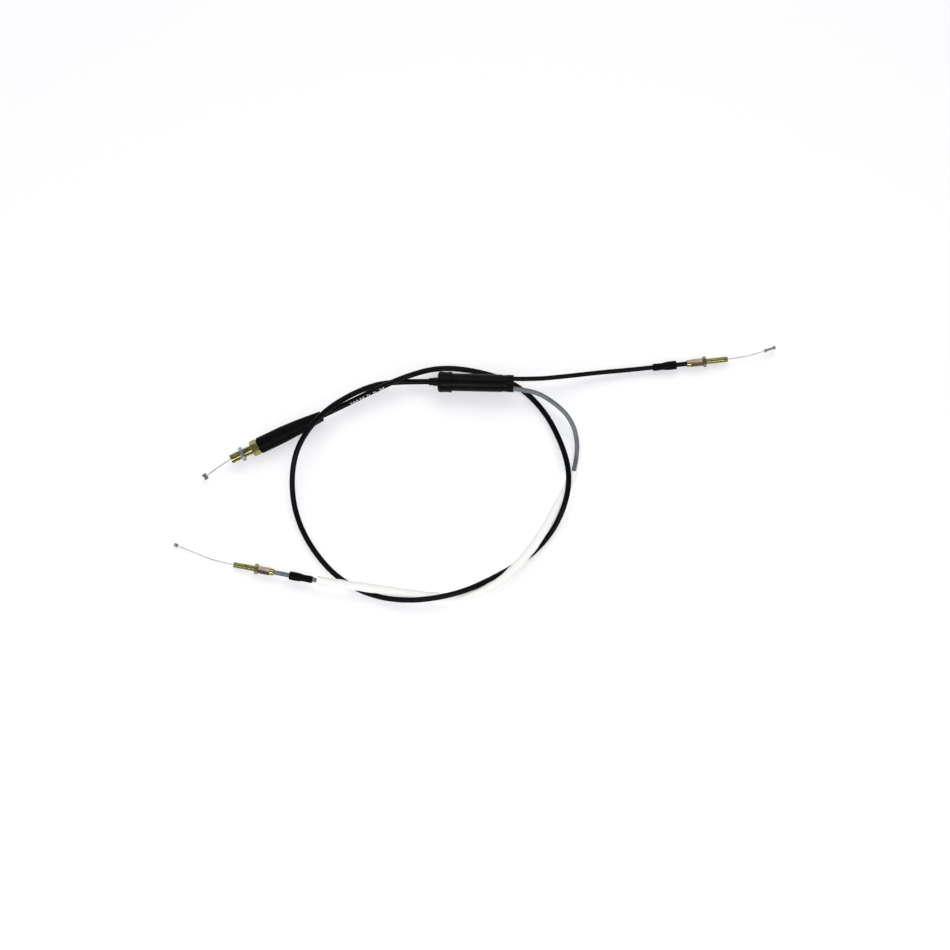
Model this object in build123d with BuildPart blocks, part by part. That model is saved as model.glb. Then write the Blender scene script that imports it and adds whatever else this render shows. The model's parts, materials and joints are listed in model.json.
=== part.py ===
"""Two-into-one throttle control cable, lying on a flat surface as it is stored.

One pull cable runs from the twist grip's lever end, round one full loop, into a splitter barrel.
A slider inside the barrel pulls two shorter cables, A and B, one for each carburettor.
Every cable is a conduit (jacket, steel winding, liner) with a steel wire inside it.
Millimetres, +Z up, the surface at Z = 0, origin at the middle of the footprint.
"""

import os
from math import cos, pi, radians, sin, tan

from build123d import *

os.makedirs("parts", exist_ok=True)

# Conduits: outer radii of the layers, from the jacket inwards, and the gap left between layers.
MAIN_JACKET_R = 3.0
MAIN_WINDING_R = 2.1
MAIN_LINER_R = 1.5
MAIN_BORE_R = 1.1
MAIN_WIRE_R = 0.75
OUTLET_JACKET_R = 2.5
OUTLET_WINDING_R = 1.9
OUTLET_LINER_R = 1.4
OUTLET_BORE_R = 1.0
OUTLET_WIRE_R = 0.6
LAYER_GAP = 0.05

# Travel of the wires, and the straight lines that the rigid pieces lie on: a start point,
# a heading from +X and a pitch above the surface.
TRAVEL = 22.0
LEVER_TIP = (-263.2, 5.6, 8.8)
LEVER_HEADING = 25.5
LEVER_PITCH = 0.5
SPLITTER_CENTRE = (2.7, 88.1, 13.7)
SPLITTER_HEADING = -1.5
SPLITTER_PITCH = 3.2
END_AXIS_Z = 5.05
A_TIP = (273.5, 114.0, END_AXIS_Z)
A_HEADING = 180 + 6.4
A_PITCH = 0.0
B_TIP = (-260.8, -108.3, 3.2)
B_HEADING = -10.6
B_PITCH = 4.4

# Splitter, measured along its line from the middle of the barrel; inlet negative, outlets positive.
OUTLET_SPACING = 10.0
BARREL_R = 9.5
BARREL_BORE_R = 8.4
BARREL_START = -38.6
BARREL_END = 27.5
CAP_R = 11.2
CAP_START = -42.4
CAP_END = -27.5
MAIN_SEAT = -39.0
OUTLET_SEAT = 18.0
SLIDER_R = 8.3
SLIDER_START = 3.0
SLIDER_LENGTH = 13.0
SLIDER_NIPPLE_R = 2.2

# Lever fitting, measured from the tip of its thread inwards.
LEVER_THREAD_R = 5.0
LEVER_THREAD_END = 25.0
LEVER_HEX_AF = 15.0
LEVER_HEX_END = 33.2
LEVER_TUBE_END = 58.0
LEVER_SEAT = 37.0
LEVER_NUT_AF = 14.0
LEVER_NUT_START = 11.9
LEVER_NUT_LENGTH = 3.8
LEVER_BOOT_START = 33.5
LEVER_BOOT_END = 109.0

# Carburettor ends, the same on A and B, measured from the tip of the adjuster's thread inwards.
END_THREAD_R = 3.0
END_NUT_AF = 10.0
END_NUT_START = 23.5
END_NUT_LENGTH = 3.6
END_HEX_AF = 8.0
END_HEX_START = 27.3
END_HEX_END = 40.4
END_COLLAR_END = 44.6
END_COLLAR_R = 3.75
END_SEAT = 36.0
END_BORE_R = 1.75
END_BOOT_LENGTH = 25.6
A_BOOT_START = 55.8
B_BOOT_START = 62.0

# Small features and fits.
FIT_GAP = 0.05
FERRULE_GAP = 0.02
FERRULE_WALL = 1.2
MAIN_FERRULE_R = 3.5
MAIN_FERRULE_LENGTH = 12.0
OUTLET_FERRULE_R = 2.8
OUTLET_FERRULE_LENGTH = 8.0
THREAD_CHAMFER = 0.5
GROOVE_DEPTH = 0.6
RUNOUT = 1.0
LEVER_BEVEL = 0.9
LEVER_TUBE_R = 4.5
LEVER_BORE_R = 2.0
LEVER_GROOVE_START = 11.4
LEVER_GROOVE_END = 13.4
LEVER_NIPPLE_R = 2.5
LEVER_NIPPLE_LENGTH = 7.0
END_GROOVE_START = 23.0
END_NIPPLE_R = 1.9
A_NIPPLE_LENGTH = 13.0
B_NIPPLE_LENGTH = 4.5
NIPPLE_CHAMFER = 0.4
INLET_NIPPLE_R = 2.5
INLET_HOLE_R = 4.0
INLET_FERRULE_START = -52.4
CAP_FLOOR = -39.4
PLUG_START = 16.8
PLUG_FLANGE_END = 33.0
PLUG_END = 39.2
OUTLET_BOSS_R = 4.3

# Corners of the conduits' routes over the surface, from the end of the first straight stretch on.
# Crossings: the main conduit's return passes over the lever boot, then under its own first stretch;
# its first stretch then dips under the splitter; it passes over sleeve B, under it, over it, under it.
MAIN_ROUTE = [
    (-112.0, 78.0, 15.2),
    (-76.0, 94.5, 15.8),
    (-38.0, 105.5, 6.0),
    (5.0, 101.0, 3.0),
    (46.0, 87.0, 3.0),
    (76.0, 58.0, 3.0),
    (94.4, 22.0, 6.5),
    (102.5, -9.0, 12.4),
    (99.0, -40.0, 12.0),
    (84.0, -74.0, 4.4),
    (57.0, -102.0, 3.0),
    (22.0, -122.0, 4.6),
    (-15.0, -138.5, 12.2),
    (-62.0, -147.4, 12.2),
    (-107.0, -144.0, 4.0),
    (-147.0, -125.0, 3.0),
    (-177.0, -91.0, 3.4),
    (-195.0, -52.0, 5.4),
    (-198.0, -10.0, 12.6),
    (-188.8, 24.8, 20.5),
    (-163.0, 57.4, 20.5),
    (-124.0, 81.0, 9.4),
]
A_ROUTE = [
    (62.8, 91.5, 17.0),
    (99.0, 95.2, 12.0),
    (136.0, 99.6, 6.6),
]
B_ROUTE = [
    (58.5, 81.6, 16.8),
    (84.6, 68.0, 14.2),
    (103.8, 49.6, 9.8),
    (111.2, 27.0, 6.0),
    (109.8, 4.0, 4.4),
    (104.0, -18.0, 4.4),
    (90.0, -43.0, 4.9),
    (74.0, -73.0, 8.4),
    (53.0, -102.0, 11.6),
    (25.0, -130.0, 10.4),
    (-9.0, -143.0, 4.4),
    (-43.0, -143.5, 4.4),
    (-81.0, -138.0, 5.0),
    (-124.0, -131.5, 12.4),
]

# Where each route's straight end stretch meets its first or last corner, along that end's line.
LEVER_CORNER = 138.0
INLET_CORNER = -92.0
A_CORNER = 100.0
B_CORNER = 110.0

# Heat sleeve on cable B: it starts and ends half-way along two of the route's runs.
SLEEVE_R = 4.2
SLEEVE_BORE_R = 3.4
SLEEVE_FIRST_CORNER = 6
SLEEVE_END = 93.0

# The three wires' exposed stretches: corners as (distance out from the tip, sideways, up).
LEVER_EXPOSED = [(2.0, 0.0, 0.0), (15.0, -1.6, -0.3), (33.2, -4.9, -1.0)]
A_EXPOSED = [(6.0, 0.0, 0.0), (25.0, -1.0, 0.3), (41.0, -4.4, 0.4)]
B_EXPOSED = [(6.0, 0.0, 0.0), (25.0, 1.0, 0.4), (64.0, 9.0, 4.1)]

# How far each moving wire's hidden tail reaches along its line, and the gap to the fixed wire run.
LEVER_TAIL = 100.0
END_TAIL = 41.0
INLET_TAIL = MAIN_SEAT - 4.0
OUTLET_TAIL = OUTLET_SEAT + TRAVEL + 2.0
TAIL_GAP = 0.4


def line_plane(origin, heading, pitch):
    """Plane whose x runs along a straight line, with y level to its left and z upwards."""
    level = cos(radians(pitch))
    direction = Vector(cos(radians(heading)) * level, sin(radians(heading)) * level, sin(radians(pitch)))
    left = Vector(-sin(radians(heading)), cos(radians(heading)), 0)
    return Plane(origin=origin, x_dir=direction, z_dir=direction.cross(left))


def point_on(line, distance, left=0.0, up=0.0):
    """Point at a distance along a line, moved sideways and upwards from it."""
    return line.origin + line.x_dir * distance + line.y_dir * left + line.z_dir * up


def across(line, distance, left=0.0):
    """Plane square to a line at a distance along it, with its x pointing left."""
    return Plane(origin=point_on(line, distance, left), x_dir=line.y_dir, z_dir=line.x_dir)


def turn(line, profile, mode=Mode.ADD):
    """Turn a profile of (distance along the line, radius) points about the line."""
    with BuildSketch(line) as section:
        with BuildLine():
            Polyline(*profile, close=True)
        make_face()
    revolve(section.sketch, axis=Axis(line.origin, line.x_dir), mode=mode)


def shifted(line, left):
    """The same line moved sideways."""
    return Plane(origin=point_on(line, 0.0, left), x_dir=line.x_dir, z_dir=line.z_dir)


def rod(line, start, end, radius, mode=Mode.ADD):
    """Plain round bar about a line."""
    turn(line, [(start, 0.0), (end, 0.0), (end, radius), (start, radius)], mode=mode)


def hexagon(line, start, end, flats, bevel, roll=0.0):
    """Hexagonal bar about a line, its corners turned down at both ends; two flats are level at roll 0."""
    with BuildSketch(across(line, start)) as section:
        RegularPolygon(radius=flats / 2, side_count=6, major_radius=False, rotation=roll)
    extrude(section.sketch, amount=end - start)
    face = flats / 2
    corner = face / cos(pi / 6) + 0.01
    crown = [(start, 0), (end, 0), (end, face), (end - bevel, corner), (start + bevel, corner), (start, face)]
    turn(line, crown, mode=Mode.INTERSECT)


def corner_radii(points):
    """Largest even arcs at a route's corners: 0.45 of the shorter run over tan(half the turn)."""
    radii = []
    for before, corner, after in zip(points, points[1:], points[2:]):
        run_in = corner - before
        run_out = after - corner
        shorter = min(run_in.length, run_out.length)
        radii.append(0.45 * shorter / tan(radians(run_in.get_angle(run_out)) / 2))
    return radii


def route_line(points, radii):
    """Straight runs joined by tangent arcs."""
    with BuildLine() as path:
        FilletPolyline(*points, radius=radii)
    return path.line


def tube(points, radii, outer, inner=0.0):
    """Round tube, or wire when it has no bore, along a route."""
    path = route_line(points, radii)
    with BuildSketch(Plane(origin=path @ 0, z_dir=path % 0)) as section:
        Circle(outer)
        if inner:
            Circle(inner, mode=Mode.SUBTRACT)
    sweep(section.sketch, path=path)


def save(builder, name):
    """Label a finished piece and write it to its own file."""
    builder.part.label = name
    export_step(builder.part, f"parts/{name}.step")


lever_line = line_plane(LEVER_TIP, LEVER_HEADING, LEVER_PITCH)
splitter_line = line_plane(SPLITTER_CENTRE, SPLITTER_HEADING, SPLITTER_PITCH)
a_line = line_plane(A_TIP, A_HEADING, A_PITCH)
b_line = line_plane(B_TIP, B_HEADING, B_PITCH)
outlet_side = {"a": OUTLET_SPACING / 2, "b": -OUTLET_SPACING / 2}
end_lines = {"a": a_line, "b": b_line}
end_corners = {"a": A_CORNER, "b": B_CORNER}

# Full routes, from the conduit's first cut end to its last.
main_route = [
    point_on(lever_line, LEVER_SEAT + 1.2),
    point_on(lever_line, LEVER_CORNER),
    *[Vector(*corner) for corner in MAIN_ROUTE],
    point_on(splitter_line, INLET_CORNER),
    point_on(splitter_line, MAIN_SEAT),
]
outlet_routes = {}
for cable, corners in (("a", A_ROUTE), ("b", B_ROUTE)):
    outlet_routes[cable] = [
        point_on(splitter_line, OUTLET_SEAT, outlet_side[cable]),
        *[Vector(*corner) for corner in corners],
        point_on(end_lines[cable], end_corners[cable]),
        point_on(end_lines[cable], END_SEAT + 1.2),
    ]


def route_length(route, radii):
    """Length of a route with its arcs."""
    return sum(edge.length for edge in route_line(route, radii).edges())


def conduit(name, route, layers, wire_ends, wire_r):
    """Jacket, steel winding and liner of one conduit, and the fixed run of wire inside it."""
    radii = corner_radii(route)
    length = route_length(route, radii)
    for layer, (outer, inner) in layers.items():
        with BuildPart() as piece:
            tube(route, radii, outer, inner)
        save(piece, f"{name}_{layer}")
        ratio = piece.part.volume / (pi * (outer**2 - inner**2) * length)
        print(name, layer, "volume over section times length", round(ratio, 4))
    with BuildPart() as wire:
        tube([wire_ends[0], *route[1:-1], wire_ends[1]], radii, wire_r)
    save(wire, f"{name}_wire")
    print(name, "length", round(length, 1), "arc radii", [round(radius) for radius in radii])


conduit(
    "main",
    main_route,
    {
        "jacket": (MAIN_JACKET_R, MAIN_WINDING_R + LAYER_GAP),
        "winding": (MAIN_WINDING_R, MAIN_LINER_R + LAYER_GAP),
        "liner": (MAIN_LINER_R, MAIN_BORE_R),
    },
    (
        point_on(lever_line, LEVER_TAIL + TAIL_GAP),
        point_on(splitter_line, INLET_TAIL - TRAVEL - TAIL_GAP),
    ),
    MAIN_WIRE_R,
)
for cable, route in outlet_routes.items():
    conduit(
        cable,
        route,
        {
            "jacket": (OUTLET_JACKET_R, OUTLET_WINDING_R + LAYER_GAP),
            "winding": (OUTLET_WINDING_R, OUTLET_LINER_R + LAYER_GAP),
            "liner": (OUTLET_LINER_R, OUTLET_BORE_R),
        },
        (
            point_on(splitter_line, OUTLET_TAIL + TAIL_GAP, outlet_side[cable]),
            point_on(end_lines[cable], END_TAIL + TRAVEL + TAIL_GAP),
        ),
        OUTLET_WIRE_R,
    )

# Heat sleeve over cable B's conduit.
b_route = outlet_routes["b"]
sleeve_start = (b_route[SLEEVE_FIRST_CORNER - 1] + b_route[SLEEVE_FIRST_CORNER]) / 2
sleeve_route = [sleeve_start, *b_route[SLEEVE_FIRST_CORNER:-1], point_on(b_line, SLEEVE_END)]
sleeve_radii = corner_radii(b_route)[SLEEVE_FIRST_CORNER - 1 :]
with BuildPart() as b_heat_sleeve:
    tube(sleeve_route, sleeve_radii, SLEEVE_R, SLEEVE_BORE_R)
save(b_heat_sleeve, "b_heat_sleeve")
print("sleeve length", round(route_length(sleeve_route, sleeve_radii), 1))


# Lever end: the threaded fitting that screws into the grip housing, on its line from the tip in.
with BuildPart() as lever_fitting:
    hexagon(lever_line, LEVER_THREAD_END, LEVER_HEX_END, LEVER_HEX_AF, LEVER_BEVEL)
    turn(
        lever_line,
        [
            (0.0, 0.0),
            (0.0, LEVER_THREAD_R - THREAD_CHAMFER),
            (THREAD_CHAMFER, LEVER_THREAD_R),
            (LEVER_GROOVE_START, LEVER_THREAD_R),
            (LEVER_GROOVE_START, LEVER_THREAD_R - GROOVE_DEPTH),
            (LEVER_GROOVE_END, LEVER_THREAD_R - GROOVE_DEPTH),
            (LEVER_GROOVE_END, LEVER_THREAD_R),
            (LEVER_THREAD_END - RUNOUT, LEVER_THREAD_R),
            (LEVER_THREAD_END - RUNOUT, LEVER_THREAD_R - GROOVE_DEPTH),
            (LEVER_THREAD_END, LEVER_THREAD_R - GROOVE_DEPTH),
            (LEVER_THREAD_END, 0.0),
        ],
    )
    rod(lever_line, LEVER_HEX_END, LEVER_TUBE_END, LEVER_TUBE_R)
    rod(lever_line, -1.0, LEVER_TUBE_END, LEVER_BORE_R, Mode.SUBTRACT)
    rod(lever_line, LEVER_SEAT, LEVER_TUBE_END + 1.0, MAIN_FERRULE_R + FIT_GAP, Mode.SUBTRACT)
save(lever_fitting, "lever_fitting")

with BuildPart() as lever_locknut:
    nut_end = LEVER_NUT_START + LEVER_NUT_LENGTH
    hexagon(lever_line, LEVER_NUT_START, nut_end, LEVER_NUT_AF, 0.8)
    rod(lever_line, 0.0, LEVER_THREAD_END, LEVER_THREAD_R + FIT_GAP, Mode.SUBTRACT)
save(lever_locknut, "lever_locknut")

with BuildPart() as main_end_ferrule:
    rod(lever_line, LEVER_SEAT, LEVER_SEAT + MAIN_FERRULE_LENGTH, MAIN_FERRULE_R)
    rod(lever_line, 0.0, LEVER_TUBE_END, MAIN_BORE_R, Mode.SUBTRACT)
    seat = LEVER_SEAT + FERRULE_WALL
    rod(lever_line, seat, LEVER_TUBE_END, MAIN_JACKET_R + FERRULE_GAP, Mode.SUBTRACT)
save(main_end_ferrule, "main_end_ferrule")

# The boot tapers back from its rounded mouth; its neck grips the jacket and its inside is hollow.
with BuildPart() as lever_boot:
    turn(
        lever_line,
        [
            (LEVER_BOOT_START, 7.4),
            (LEVER_BOOT_START, 8.2),
            (LEVER_BOOT_START + 0.8, 9.0),
            (LEVER_BOOT_START + 28.0, 9.0),
            (LEVER_BOOT_START + 49.0, 8.0),
            (LEVER_BOOT_END - 7.5, 6.2),
            (LEVER_BOOT_END - 0.6, 5.6),
            (LEVER_BOOT_END, 5.0),
            (LEVER_BOOT_END, MAIN_JACKET_R + FIT_GAP),
            (LEVER_BOOT_END - 14.0, MAIN_JACKET_R + FIT_GAP),
            (LEVER_BOOT_END - 18.0, 4.2),
            (LEVER_BOOT_START + 38.0, 5.6),
            (LEVER_BOOT_START + 5.0, 6.6),
        ],
    )
save(lever_boot, "lever_boot")


def wire_points(line, tail, exposed):
    """A moving wire's corners: straight hidden tail, then its exposed stretch beyond the tip."""
    return [point_on(line, tail), *[point_on(line, -out, left, up) for out, left, up in exposed]]


def beyond(points):
    """Line that carries on from a wire's last corner."""
    run = (points[-1] - points[-2]).normalized()
    left = Vector(0, 0, 1).cross(run).normalized()
    return Plane(origin=points[-1], x_dir=run, z_dir=run.cross(left))


lever_points = wire_points(lever_line, LEVER_TAIL, LEVER_EXPOSED)
with BuildPart() as lever_wire:
    tube(lever_points, corner_radii(lever_points), MAIN_WIRE_R)
save(lever_wire, "lever_wire")

# The barrel nipple lies crosswise on the wire's end and turns in the grip's pulley.
lever_end = beyond(lever_points)
crosswise = Plane(origin=lever_end.origin, x_dir=lever_end.y_dir, z_dir=lever_end.z_dir)
with BuildPart() as lever_nipple:
    turn(
        crosswise,
        [
            (-LEVER_NIPPLE_LENGTH / 2, 0.0),
            (-LEVER_NIPPLE_LENGTH / 2, LEVER_NIPPLE_R - NIPPLE_CHAMFER),
            (-LEVER_NIPPLE_LENGTH / 2 + NIPPLE_CHAMFER, LEVER_NIPPLE_R),
            (LEVER_NIPPLE_LENGTH / 2 - NIPPLE_CHAMFER, LEVER_NIPPLE_R),
            (LEVER_NIPPLE_LENGTH / 2, LEVER_NIPPLE_R - NIPPLE_CHAMFER),
            (LEVER_NIPPLE_LENGTH / 2, 0.0),
        ],
    )
    rod(lever_end, -LEVER_NIPPLE_R - 1.0, 0.0, MAIN_WIRE_R, Mode.SUBTRACT)
save(lever_nipple, "lever_nipple")

# Splitter, on its line from the inlet to the outlets.
with BuildPart() as splitter_inlet_ferrule:
    turn(
        splitter_line,
        [
            (INLET_FERRULE_START, MAIN_BORE_R),
            (INLET_FERRULE_START, 3.9),
            (INLET_FERRULE_START + 5.0, 4.1),
            (INLET_FERRULE_START + 5.0, 4.6),
            (CAP_START - 0.05, 4.6),
            (CAP_START - 0.05, INLET_HOLE_R - FIT_GAP),
            (CAP_FLOOR + 0.05, INLET_HOLE_R - FIT_GAP),
            (CAP_FLOOR + 0.05, 5.4),
            (CAP_FLOOR + 2.0, 5.4),
            (CAP_FLOOR + 2.0, MAIN_BORE_R),
        ],
    )
    rod(splitter_line, INLET_FERRULE_START - 1.0, MAIN_SEAT, MAIN_JACKET_R + FERRULE_GAP, Mode.SUBTRACT)
save(splitter_inlet_ferrule, "splitter_inlet_ferrule")

with BuildPart() as splitter_cap:
    turn(
        splitter_line,
        [
            (CAP_START, INLET_HOLE_R),
            (CAP_START, CAP_R - 2.4),
            (CAP_START + 0.7, CAP_R - 0.9),
            (CAP_START + 2.0, CAP_R - 0.2),
            (CAP_START + 3.4, CAP_R),
            (CAP_END, CAP_R),
            (CAP_END, BARREL_R + FIT_GAP),
            (CAP_FLOOR, BARREL_R + FIT_GAP),
            (CAP_FLOOR, INLET_HOLE_R),
        ],
    )
    for side in (-1, 1):
        window = across(splitter_line, CAP_END - 9.0, side * CAP_R)
        with BuildSketch(window) as opening:
            Rectangle(3.0, 6.5)
        extrude(opening.sketch, amount=5.5, mode=Mode.SUBTRACT)
save(splitter_cap, "splitter_cap")

with BuildPart() as splitter_barrel:
    turn(
        splitter_line,
        [
            (BARREL_START, BARREL_BORE_R),
            (BARREL_START, BARREL_R - 0.4),
            (BARREL_START + 0.4, BARREL_R),
            (BARREL_END - 1.0, BARREL_R),
            (BARREL_END, BARREL_R - 0.7),
            (BARREL_END, BARREL_BORE_R),
        ],
    )
save(splitter_barrel, "splitter_barrel")

with BuildPart() as splitter_outlet_plug:
    turn(
        splitter_line,
        [
            (PLUG_START, 0.0),
            (PLUG_START, BARREL_BORE_R - FIT_GAP),
            (BARREL_END + 0.05, BARREL_BORE_R - FIT_GAP),
            (BARREL_END + 0.05, BARREL_R - 0.5),
            (PLUG_FLANGE_END - 0.8, BARREL_R - 0.5),
            (PLUG_FLANGE_END, BARREL_R - 1.3),
            (PLUG_FLANGE_END, 0.0),
        ],
    )
    for side in outlet_side.values():
        outlet = shifted(splitter_line, side)
        rod(outlet, PLUG_FLANGE_END - 1.0, PLUG_END, OUTLET_BOSS_R)
        rod(outlet, PLUG_START - 1.0, PLUG_END + 1.0, OUTLET_JACKET_R + FIT_GAP, Mode.SUBTRACT)
        cup_end = OUTLET_SEAT - FERRULE_WALL + OUTLET_FERRULE_LENGTH
        rod(outlet, PLUG_START - 1.0, cup_end + 0.2, OUTLET_FERRULE_R + FIT_GAP, Mode.SUBTRACT)
save(splitter_outlet_plug, "splitter_outlet_plug")


def end_ferrule(line, seat):
    """Drawn cup on a conduit's cut end; the wire passes through its floor."""
    rod(line, seat - FERRULE_WALL, seat - FERRULE_WALL + OUTLET_FERRULE_LENGTH, OUTLET_FERRULE_R)
    rod(line, seat - 10.0, seat + 20.0, OUTLET_BORE_R, Mode.SUBTRACT)
    rod(line, seat, seat + 20.0, OUTLET_JACKET_R + FERRULE_GAP, Mode.SUBTRACT)


# The slider: the pull cable's nipple bears on it from the outlet side, the two outlet cables'
# nipples from the inlet side.
slider_end = SLIDER_START + SLIDER_LENGTH
inlet_pocket = slider_end - 7.0
outlet_pocket = SLIDER_START + 6.5
with BuildPart() as splitter_slider:
    rod(splitter_line, SLIDER_START, slider_end, SLIDER_R)
    rod(splitter_line, 0.0, slider_end, MAIN_WIRE_R + 0.1, Mode.SUBTRACT)
    rod(splitter_line, inlet_pocket, slider_end + 1.0, INLET_NIPPLE_R + 0.1, Mode.SUBTRACT)
    for side in outlet_side.values():
        outlet = shifted(splitter_line, side)
        rod(outlet, 0.0, slider_end + 1.0, OUTLET_WIRE_R + 0.1, Mode.SUBTRACT)
        rod(outlet, 0.0, outlet_pocket, SLIDER_NIPPLE_R + 0.1, Mode.SUBTRACT)
save(splitter_slider, "splitter_slider")

with BuildPart() as slider_inlet_nipple:
    rod(splitter_line, inlet_pocket + 0.02, inlet_pocket + 5.0, INLET_NIPPLE_R)
    rod(splitter_line, 0.0, inlet_pocket + 4.0, MAIN_WIRE_R, Mode.SUBTRACT)
save(slider_inlet_nipple, "slider_inlet_nipple")

with BuildPart() as slider_inlet_wire:
    rod(splitter_line, INLET_TAIL, inlet_pocket + 4.0, MAIN_WIRE_R)
save(slider_inlet_wire, "slider_inlet_wire")

for cable, side in outlet_side.items():
    outlet = shifted(splitter_line, side)
    with BuildPart() as outlet_ferrule:
        end_ferrule(outlet, OUTLET_SEAT)
    save(outlet_ferrule, f"{cable}_outlet_ferrule")
    with BuildPart() as slider_nipple:
        rod(outlet, outlet_pocket - 5.0, outlet_pocket - 0.02, SLIDER_NIPPLE_R)
        rod(outlet, outlet_pocket - 4.0, slider_end, OUTLET_WIRE_R, Mode.SUBTRACT)
    save(slider_nipple, f"slider_{cable}_nipple")
    with BuildPart() as slider_wire:
        rod(outlet, outlet_pocket - 4.0, OUTLET_TAIL, OUTLET_WIRE_R)
    save(slider_wire, f"slider_{cable}_wire")

# Carburettor ends: adjuster, locknut, boot, ferrule, and the moving wire with its nipple.
boot_starts = {"a": A_BOOT_START, "b": B_BOOT_START}
exposed_stretches = {"a": A_EXPOSED, "b": B_EXPOSED}
nipple_lengths = {"a": A_NIPPLE_LENGTH, "b": B_NIPPLE_LENGTH}
for cable, line in end_lines.items():
    with BuildPart() as adjuster:
        hexagon(line, END_HEX_START, END_HEX_END, END_HEX_AF, 0.5, 30.0)
        turn(
            line,
            [
                (0.0, 0.0),
                (0.0, END_THREAD_R - THREAD_CHAMFER),
                (THREAD_CHAMFER, END_THREAD_R),
                (END_GROOVE_START, END_THREAD_R),
                (END_GROOVE_START, END_THREAD_R - GROOVE_DEPTH),
                (END_HEX_START, END_THREAD_R - GROOVE_DEPTH),
                (END_HEX_START, 0.0),
            ],
        )
        rod(line, END_HEX_END, END_COLLAR_END, END_COLLAR_R)
        rod(line, -1.0, END_HEX_END, END_BORE_R, Mode.SUBTRACT)
        rod(line, END_SEAT, END_COLLAR_END + 1.0, OUTLET_FERRULE_R + FIT_GAP, Mode.SUBTRACT)
    save(adjuster, f"{cable}_adjuster")
    with BuildPart() as locknut:
        hexagon(line, END_NUT_START, END_NUT_START + END_NUT_LENGTH, END_NUT_AF, 0.7)
        rod(line, 0.0, END_HEX_START, END_THREAD_R + FIT_GAP, Mode.SUBTRACT)
    save(locknut, f"{cable}_locknut")
    with BuildPart() as ferrule:
        end_ferrule(line, END_SEAT + FERRULE_WALL)
    save(ferrule, f"{cable}_end_ferrule")
    mouth = boot_starts[cable]
    with BuildPart() as boot:
        turn(
            line,
            [
                (mouth, END_COLLAR_R + 0.1),
                (mouth, 4.3),
                (mouth + 0.4, 4.65),
                (mouth + 10.5, 4.65),
                (mouth + 15.5, 3.7),
                (mouth + 19.5, 3.7),
                (mouth + 20.5, 3.9),
                (mouth + END_BOOT_LENGTH - 0.5, 3.8),
                (mouth + END_BOOT_LENGTH, 3.4),
                (mouth + END_BOOT_LENGTH, OUTLET_JACKET_R + FIT_GAP),
                (mouth + 14.5, OUTLET_JACKET_R + FIT_GAP),
                (mouth + 11.0, END_COLLAR_R + 0.1),
            ],
        )
    save(boot, f"{cable}_boot")
    points = wire_points(line, END_TAIL, exposed_stretches[cable])
    with BuildPart() as pull_wire:
        tube(points, corner_radii(points), OUTLET_WIRE_R)
    save(pull_wire, f"{cable}_pull_wire")
    wire_end = beyond(points)
    with BuildPart() as nipple:
        length = nipple_lengths[cable]
        turn(
            wire_end,
            [
                (-1.0, OUTLET_WIRE_R),
                (-1.0, END_NIPPLE_R - NIPPLE_CHAMFER),
                (-1.0 + NIPPLE_CHAMFER, END_NIPPLE_R),
                (length - 1.0 - NIPPLE_CHAMFER, END_NIPPLE_R),
                (length - 1.0, END_NIPPLE_R - NIPPLE_CHAMFER),
                (length - 1.0, 0.0),
                (0.0, 0.0),
                (0.0, OUTLET_WIRE_R),
            ],
        )
    save(nipple, f"{cable}_nipple")
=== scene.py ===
"""Looks of the two-into-one throttle control cable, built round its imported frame.

Metres, +Z up. Lengths named *_MM are millimetres along or about one of the four straight lines
that the rigid pieces lie on: the lever end, the splitter, and the two carburettor ends A and B.
"""

import json
import math
import random

import bmesh
import bpy
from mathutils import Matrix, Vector


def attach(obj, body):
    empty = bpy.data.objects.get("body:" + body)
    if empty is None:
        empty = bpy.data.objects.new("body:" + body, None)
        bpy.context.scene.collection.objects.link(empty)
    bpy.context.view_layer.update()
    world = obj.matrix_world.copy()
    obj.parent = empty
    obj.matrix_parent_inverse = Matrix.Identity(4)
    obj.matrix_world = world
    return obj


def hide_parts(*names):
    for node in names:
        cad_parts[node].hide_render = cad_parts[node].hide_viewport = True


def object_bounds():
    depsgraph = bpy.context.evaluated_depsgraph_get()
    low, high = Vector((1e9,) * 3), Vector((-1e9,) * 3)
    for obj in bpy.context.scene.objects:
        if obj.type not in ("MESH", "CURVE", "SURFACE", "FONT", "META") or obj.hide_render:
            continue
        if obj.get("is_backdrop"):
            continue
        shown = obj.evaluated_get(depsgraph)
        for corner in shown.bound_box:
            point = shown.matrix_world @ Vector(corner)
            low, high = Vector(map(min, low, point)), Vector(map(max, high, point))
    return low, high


MM = 0.001
TURN = 2 * math.pi

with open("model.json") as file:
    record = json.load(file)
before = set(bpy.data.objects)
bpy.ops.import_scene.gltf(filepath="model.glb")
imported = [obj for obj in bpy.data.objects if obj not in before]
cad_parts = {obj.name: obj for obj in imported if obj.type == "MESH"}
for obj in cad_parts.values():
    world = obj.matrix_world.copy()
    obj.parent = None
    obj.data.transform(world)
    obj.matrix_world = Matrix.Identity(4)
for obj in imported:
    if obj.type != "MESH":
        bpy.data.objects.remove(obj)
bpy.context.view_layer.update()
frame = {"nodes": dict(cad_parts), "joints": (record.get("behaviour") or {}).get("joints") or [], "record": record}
joints = {joint["name"]: joint for joint in frame["joints"]}
mounts = {mount["name"]: mount for mount in frame["record"]["mounts"]}


# ---------------------------------------------------------------- lines and places


class Line:
    """A straight line through the rigid pieces: x along it, left and up across it."""

    def __init__(self, origin, along):
        self.origin = Vector(origin)
        self.along = Vector(along).normalized()
        self.left = Vector((0, 0, 1)).cross(self.along).normalized()
        self.up = self.along.cross(self.left)

    def at(self, distance, left=0.0, up=0.0):
        """Point at millimetres along, left of and above the line."""
        return self.origin + (self.along * distance + self.left * left + self.up * up) * MM


def joint_line(name):
    """Line of a joint's axis."""
    return Line(joints[name]["pos_m"], joints[name]["axis"])


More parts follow.
